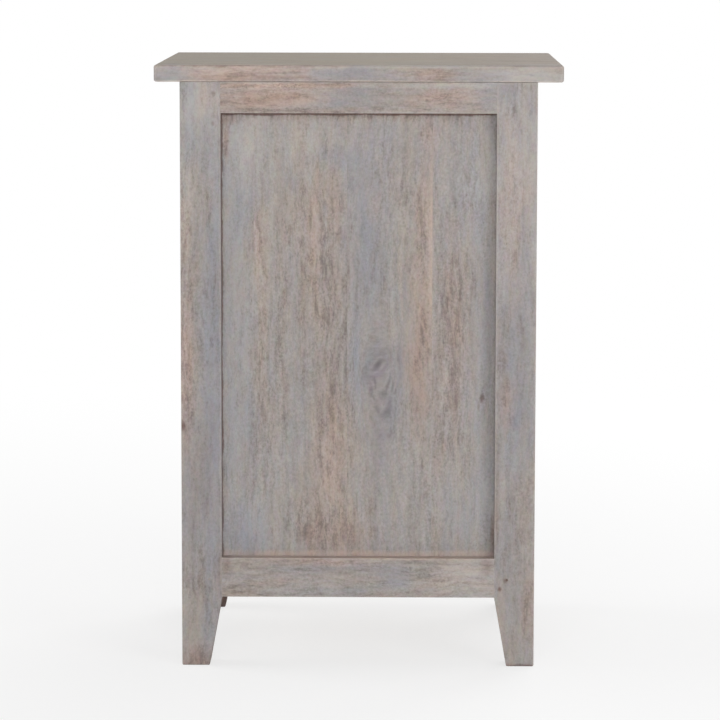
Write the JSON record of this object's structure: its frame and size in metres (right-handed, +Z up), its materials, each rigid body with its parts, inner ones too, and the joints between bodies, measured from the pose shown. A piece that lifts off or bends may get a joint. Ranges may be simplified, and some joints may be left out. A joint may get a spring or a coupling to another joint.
{
  "type": "nightstand",
  "caption": "Bedside nightstand: framed and panelled wooden case on tapered feet, with inset dovetailed drawers on wooden runners under an overhanging top.",
  "frame": {"origin": "on the floor, under the middle of the top board's footprint", "axes": "+Z up; the drawers open towards -Y, so +Y is the panelled back; +X is to the right seen from the front"},
  "size_m": [0.403, 0.35, 0.6],
  "materials": {
    "limed_wood": "grey-white limed wash over mid-brown hardwood, matt",
    "bare_wood": "planed, unfinished",
    "steel": "zinc plated"
  },
  "bodies": {
    "case": {"top_board": "limed_wood", "front_left_leg": "limed_wood", "front_right_leg": "limed_wood", "back_left_leg": "limed_wood", "back_right_leg": "limed_wood", "back_top_rail": "limed_wood", "back_bottom_rail": "limed_wood", "back_panel": "limed_wood", "left_side_top_rail": "limed_wood", "left_side_bottom_rail": "limed_wood", "left_side_panel": "limed_wood", "right_side_top_rail": "limed_wood", "right_side_bottom_rail": "limed_wood", "right_side_panel": "limed_wood", "front_top_rail": "limed_wood", "upper_divider": "limed_wood", "lower_divider": "limed_wood", "front_bottom_rail": "limed_wood", "lower_left_runner": "bare_wood", "lower_right_runner": "bare_wood", "middle_left_runner": "bare_wood", "middle_right_runner": "bare_wood", "upper_left_runner": "bare_wood", "upper_right_runner": "bare_wood", "lower_left_stop": "bare_wood", "lower_right_stop": "bare_wood", "middle_left_stop": "bare_wood", "middle_right_stop": "bare_wood", "upper_left_stop": "bare_wood", "upper_right_stop": "bare_wood", "left_top_cleat": "bare_wood", "right_top_cleat": "bare_wood", "runner_screws": "steel", "top_board_screws": "steel", "tenon_pins": "bare_wood"},
    "lower_drawer": {"lower_drawer_front": "limed_wood", "lower_drawer_left_side": "bare_wood", "lower_drawer_right_side": "bare_wood", "lower_drawer_back": "bare_wood", "lower_drawer_bottom": "bare_wood", "lower_drawer_bottom_brads": "steel", "lower_drawer_knob": "limed_wood", "lower_drawer_knob_screw": "steel"},
    "middle_drawer": {"middle_drawer_front": "limed_wood", "middle_drawer_left_side": "bare_wood", "middle_drawer_right_side": "bare_wood", "middle_drawer_back": "bare_wood", "middle_drawer_bottom": "bare_wood", "middle_drawer_bottom_brads": "steel", "middle_drawer_knob": "limed_wood", "middle_drawer_knob_screw": "steel"},
    "upper_drawer": {"upper_drawer_front": "limed_wood", "upper_drawer_left_side": "bare_wood", "upper_drawer_right_side": "bare_wood", "upper_drawer_back": "bare_wood", "upper_drawer_bottom": "bare_wood", "upper_drawer_bottom_brads": "steel", "upper_drawer_knob": "limed_wood", "upper_drawer_knob_screw": "steel"}
  },
  "joints": [
    {"name": "lower_drawer_slide", "type": "slide", "parent": "case", "child": "lower_drawer", "axis": [0, -1, 0], "range_m": [0, 0.22]},
    {"name": "middle_drawer_slide", "type": "slide", "parent": "case", "child": "middle_drawer", "axis": [0, -1, 0], "range_m": [0, 0.22]},
    {"name": "upper_drawer_slide", "type": "slide", "parent": "case", "child": "upper_drawer", "axis": [0, -1, 0], "range_m": [0, 0.22]}
  ]
}
